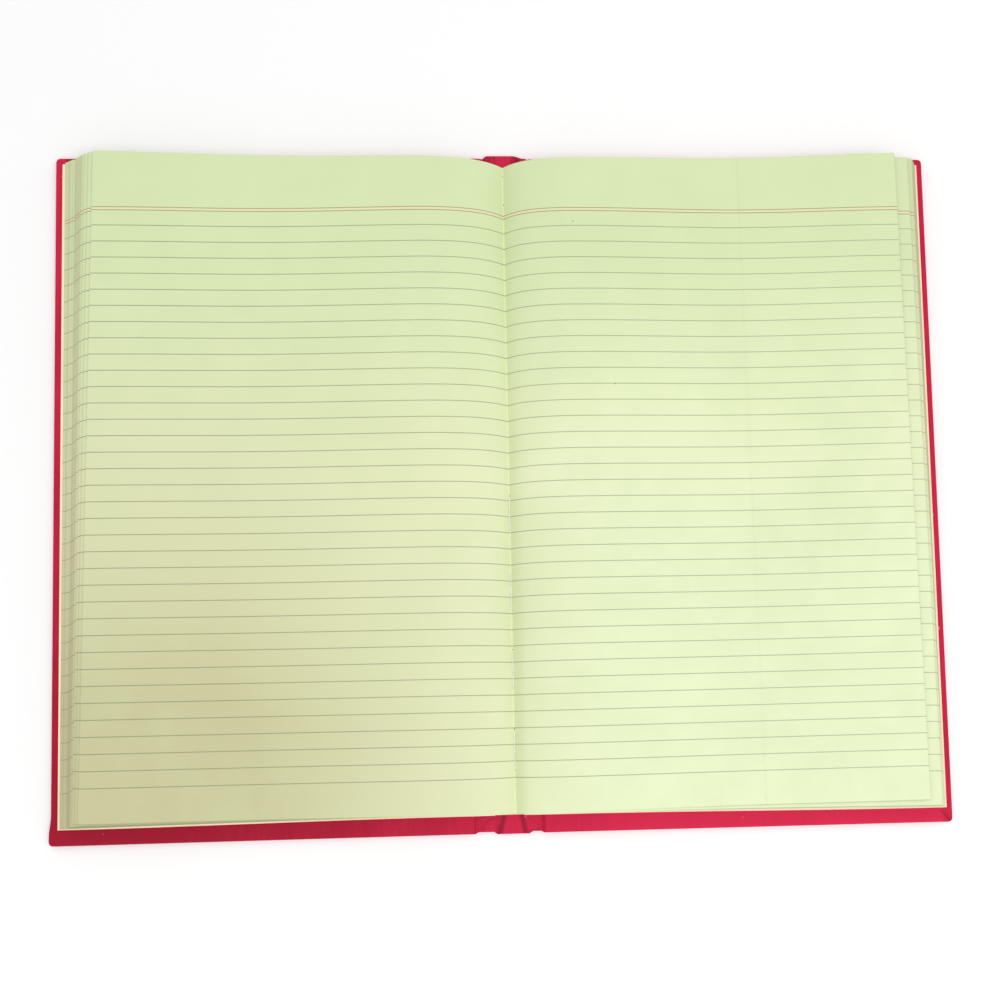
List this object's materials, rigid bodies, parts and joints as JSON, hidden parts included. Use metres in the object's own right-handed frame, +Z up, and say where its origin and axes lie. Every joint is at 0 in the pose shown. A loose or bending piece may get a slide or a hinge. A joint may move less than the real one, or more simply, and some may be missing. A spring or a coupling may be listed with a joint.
{
  "type": "open composition notebook",
  "caption": "Case-bound ruled notebook lying open flat, with cloth-covered boards hinged along a flexible spine and sewn leaves fanning out to both sides.",
  "frame": {"origin": "on the surface that the book lies on, below the middle of the spine", "axes": "+X across the open spread from the front cover to the back cover, +Y from tail to head, +Z up"},
  "size_m": [0.3884, 0.3024, 0.0128],
  "materials": {
    "leaves": "matt, faintly green, feint ruled",
    "thread": "twisted cotton",
    "lining": "glued open weave",
    "board": "plain grey board",
    "cloth": "book cloth with a low sheen",
    "endpaper": "matt, cream"
  },
  "bodies": {
    "block": {"text_block": "leaves", "sewing_thread": "thread", "spine_lining": "lining", "spine_strip": "board", "spine_cloth": "cloth", "front_flyleaf": "endpaper", "back_flyleaf": "endpaper"},
    "front_cover": {"front_board": "board", "front_cloth": "cloth", "front_pastedown": "endpaper"},
    "back_cover": {"back_board": "board", "back_cloth": "cloth", "back_pastedown": "endpaper"}
  },
  "joints": [
    {"name": "front_cover_hinge", "type": "hinge", "parent": "block", "child": "front_cover", "pos_m": [-0.0099, -0.00085, 0.00108], "axis": [0, -1, 0], "range_deg": [0, 90]},
    {"name": "back_cover_hinge", "type": "hinge", "parent": "block", "child": "back_cover", "pos_m": [0.0115, -0.00085, 0.00108], "axis": [0, 1, 0], "range_deg": [0, 90]}
  ]
}
